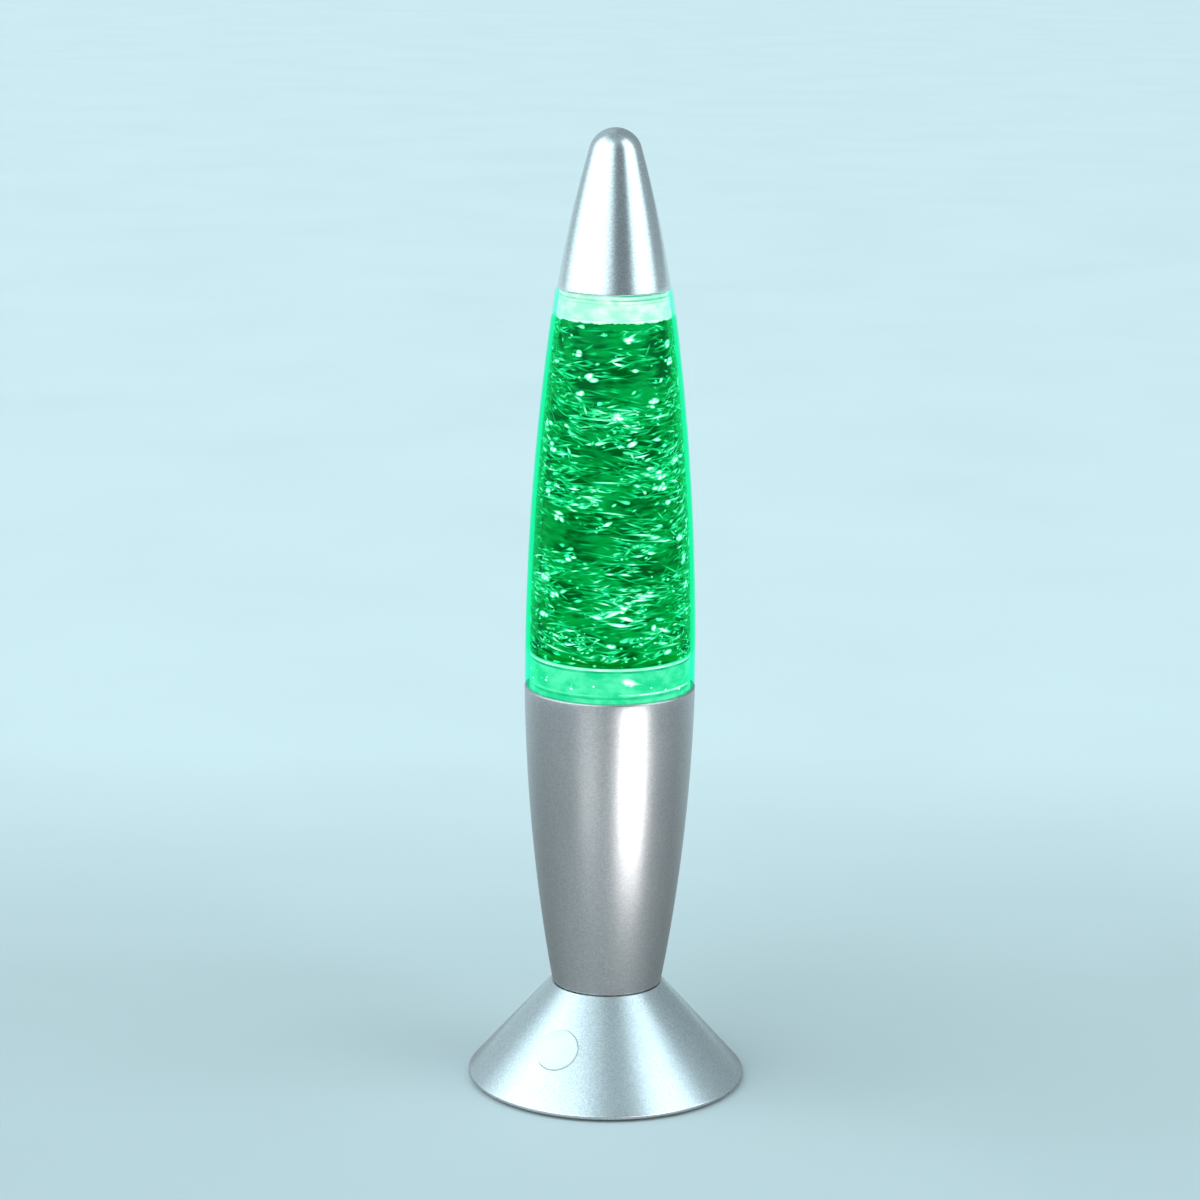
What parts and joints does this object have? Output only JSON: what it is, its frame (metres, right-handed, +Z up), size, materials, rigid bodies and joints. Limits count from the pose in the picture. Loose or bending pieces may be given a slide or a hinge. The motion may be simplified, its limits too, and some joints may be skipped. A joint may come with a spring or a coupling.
{
  "type": "glitter lamp",
  "caption": "Bullet-shaped glitter lamp: clear liquid bottle lit green from below, silver nose cap, tapered sleeve and conical battery base with a push button.",
  "frame": {"origin": "on the table under the lamp's axis, level with the soles of the feet", "axes": "+Z up along the lamp's axis, -Y towards the front; the push button is on the base cone 30 degrees to the left of the front"},
  "size_m": [0.096, 0.096, 0.33],
  "materials": {
    "silver_shell": "silver metallic paint, satin",
    "button_white": "pale grey, satin",
    "clear_plastic": "clear, polished",
    "green_liquid": "clear liquid lit green, with glitter",
    "black_plastic": "moulded",
    "white_plastic": "moulded",
    "black_rubber": "matte",
    "steel": "plain",
    "magnet": "plated",
    "copper": "enamelled wire",
    "circuit_board": "solder mask",
    "led_lens": "clear over a lit chip",
    "cell_wrap": "printed wrap, no text",
    "red_wire": "insulated",
    "black_wire": "insulated"
  },
  "bodies": {
    "base": {"chassis": "black_plastic", "motor_can": "steel", "motor_end_cap": "black_plastic", "motor_screw_1": "steel", "motor_screw_2": "steel", "led_board": "circuit_board", "led_1": "led_lens", "led_2": "led_lens", "led_3": "led_lens", "led_board_screw_1": "steel", "led_board_screw_2": "steel", "control_board": "circuit_board", "sleeve": "silver_shell", "sleeve_screw_1": "steel", "sleeve_screw_2": "steel", "sleeve_screw_3": "steel", "base_shell": "silver_shell", "base_plate": "black_plastic", "base_plate_screw_1": "steel", "base_plate_screw_2": "steel", "base_plate_screw_3": "steel", "foot_1": "black_rubber", "foot_2": "black_rubber", "foot_3": "black_rubber", "foot_4": "black_rubber", "battery_1": "cell_wrap", "battery_2": "cell_wrap", "battery_3": "cell_wrap", "contact_positive": "steel", "contact_negative": "steel", "contact_bridge_left": "steel", "contact_bridge_right": "steel", "switch_body": "steel", "switch_board": "circuit_board", "button_spring": "steel", "battery_lead_red": "red_wire", "battery_lead_black": "black_wire", "switch_lead": "black_wire", "motor_lead": "red_wire", "led_lead": "black_wire"},
    "button": {"button": "button_white", "switch_plunger": "black_plastic"},
    "rotor": {"motor_shaft": "steel", "motor_armature": "copper", "magnet_carrier": "white_plastic", "rotor_magnet_1": "magnet", "rotor_magnet_2": "magnet"},
    "bottle": {"bottle": "clear_plastic", "bottom_plug": "clear_plastic", "top_plug": "clear_plastic", "filler_stopper": "black_rubber", "liquid": "green_liquid", "impeller_pin": "steel", "impeller_retainer": "white_plastic"},
    "impeller": {"impeller": "white_plastic", "impeller_magnet": "magnet"},
    "cap": {"top_cap": "silver_shell", "cap_liner": "black_plastic"},
    "battery_door": {"battery_door": "black_plastic", "battery_door_screw": "steel"}
  },
  "joints": [
    {"name": "button_press", "type": "slide", "parent": "base", "child": "button", "axis": [0.3754, 0.6501, -0.6606], "range_m": [0, 0.0012], "stiffness_N_per_m": 400, "springref_m": -0.002, "deforming": ["button_spring"]},
    {"name": "rotor_spin", "type": "hinge", "parent": "base", "child": "rotor", "pos_m": [0, 0, 0.116], "axis": [0, 0, 1], "continuous": true},
    {"name": "bottle_lift", "type": "slide", "parent": "base", "child": "bottle", "axis": [0, 0, 1], "range_m": [0, 0.04]},
    {"name": "impeller_spin", "type": "hinge", "parent": "bottle", "child": "impeller", "pos_m": [0, 0, 0.138], "axis": [0, 0, 1], "continuous": true},
    {"name": "cap_lift", "type": "slide", "parent": "bottle", "child": "cap", "axis": [0, 0, 1], "range_m": [0, 0.05]},
    {"name": "door_open", "type": "hinge", "parent": "base", "child": "battery_door", "pos_m": [-0.02535, 0.0025, 0.0016], "axis": [0, 1, 0], "range_deg": [0, 80]}
  ],
  "couplings": [
    {"joint": "impeller_spin", "follows": "rotor_spin", "ratio": 1}
  ]
}
